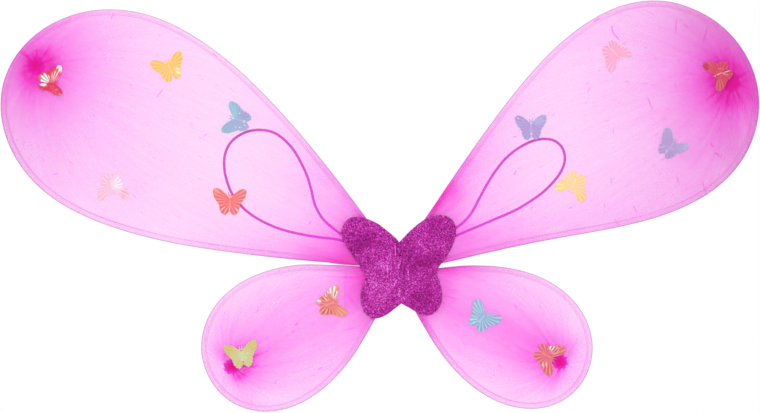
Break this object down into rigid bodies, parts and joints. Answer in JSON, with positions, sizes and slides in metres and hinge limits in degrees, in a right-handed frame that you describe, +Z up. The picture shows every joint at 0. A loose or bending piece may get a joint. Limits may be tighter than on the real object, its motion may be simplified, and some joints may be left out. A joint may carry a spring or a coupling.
{
  "type": "fairy wings",
  "caption": "Dress-up fairy wings: sheer sleeves on wire loops joined at a glitter butterfly patch, with elastic shoulder loops, gathered tips and butterfly sequins.",
  "frame": {"origin": "centre of the flat rear face of the back patch, which rests between the wearer's shoulder blades", "axes": "+X to the right as seen from the decorated face, +Y towards the wearer, out of the back patch, +Z up"},
  "size_m": [0.681, 0.0116, 0.3694],
  "materials": {
    "coated_wire": "spring wire in a smooth pale plastic coat, seen through the nylon",
    "sheer_nylon": "fine sheer knitted nylon, see-through, streaked along the stretch, two layers",
    "gathered_nylon": "the same nylon in many gathered layers, dense hot pink",
    "thread": "twisted sewing thread wound in close turns",
    "glitter_fabric": "purple-magenta glitter on thin foam, fine sparkle, softly creased",
    "elastic_cord": "thin round braided elastic",
    "binding_tape": "cloth tape wound over the wire ends",
    "sequin_film": "thin embossed film with a pearly shifting sheen, each sequin its own colour"
  },
  "bodies": {
    "centre": {"stem_wire_upper_left": "coated_wire", "sleeve_neck_upper_left": "gathered_nylon", "root_tie_upper_left": "thread", "stem_wire_upper_right": "coated_wire", "sleeve_neck_upper_right": "gathered_nylon", "root_tie_upper_right": "thread", "stem_wire_lower_left": "coated_wire", "sleeve_neck_lower_left": "gathered_nylon", "root_tie_lower_left": "thread", "stem_wire_lower_right": "coated_wire", "sleeve_neck_lower_right": "gathered_nylon", "root_tie_lower_right": "thread", "centre_binding": "binding_tape", "front_patch": "glitter_fabric", "back_patch": "glitter_fabric", "cord_knot_left_upper": "elastic_cord", "cord_knot_left_lower": "elastic_cord", "cord_knot_right_upper": "elastic_cord", "cord_knot_right_lower": "elastic_cord"},
    "wing_upper_left": {"frame_wire_upper_left": "coated_wire", "sleeve_upper_left": "sheer_nylon", "tip_knot_upper_left": "gathered_nylon", "tip_tie_upper_left": "thread", "sequin_upper_left_1": "sequin_film", "sequin_upper_left_2": "sequin_film", "sequin_upper_left_3": "sequin_film", "sequin_upper_left_4": "sequin_film", "sequin_upper_left_5": "sequin_film", "shoulder_loop_left": "elastic_cord"},
    "wing_upper_right": {"frame_wire_upper_right": "coated_wire", "sleeve_upper_right": "sheer_nylon", "tip_knot_upper_right": "gathered_nylon", "tip_tie_upper_right": "thread", "sequin_upper_right_1": "sequin_film", "sequin_upper_right_2": "sequin_film", "sequin_upper_right_3": "sequin_film", "sequin_upper_right_4": "sequin_film", "sequin_upper_right_5": "sequin_film", "shoulder_loop_right": "elastic_cord"},
    "wing_lower_left": {"frame_wire_lower_left": "coated_wire", "sleeve_lower_left": "sheer_nylon", "tip_knot_lower_left": "gathered_nylon", "tip_tie_lower_left": "thread", "sequin_lower_left_1": "sequin_film", "sequin_lower_left_2": "sequin_film"},
    "wing_lower_right": {"frame_wire_lower_right": "coated_wire", "sleeve_lower_right": "sheer_nylon", "tip_knot_lower_right": "gathered_nylon", "tip_tie_lower_right": "thread", "sequin_lower_right_1": "sequin_film", "sequin_lower_right_2": "sequin_film"}
  },
  "joints": [
    {"name": "fold_upper_left", "type": "hinge", "parent": "centre", "child": "wing_upper_left", "pos_m": [-0.055, -0.0067, 0], "axis": [0, 0, 1], "range_deg": [-60, 60], "stiffness_Nm_per_rad": 0.25, "deforming": ["stem_wire_upper_left", "sleeve_neck_upper_left", "shoulder_loop_left"]},
    {"name": "fold_upper_right", "type": "hinge", "parent": "centre", "child": "wing_upper_right", "pos_m": [0.055, -0.0067, 0], "axis": [0, 0, -1], "range_deg": [-60, 60], "stiffness_Nm_per_rad": 0.25, "deforming": ["stem_wire_upper_right", "sleeve_neck_upper_right", "shoulder_loop_right"]},
    {"name": "fold_lower_left", "type": "hinge", "parent": "centre", "child": "wing_lower_left", "pos_m": [-0.0393, -0.0067, 0], "axis": [0, 0, 1], "range_deg": [-60, 60], "stiffness_Nm_per_rad": 0.2, "deforming": ["stem_wire_lower_left", "sleeve_neck_lower_left"]},
    {"name": "fold_lower_right", "type": "hinge", "parent": "centre", "child": "wing_lower_right", "pos_m": [0.0393, -0.0067, 0], "axis": [0, 0, -1], "range_deg": [-60, 60], "stiffness_Nm_per_rad": 0.2, "deforming": ["stem_wire_lower_right", "sleeve_neck_lower_right"]}
  ]
}
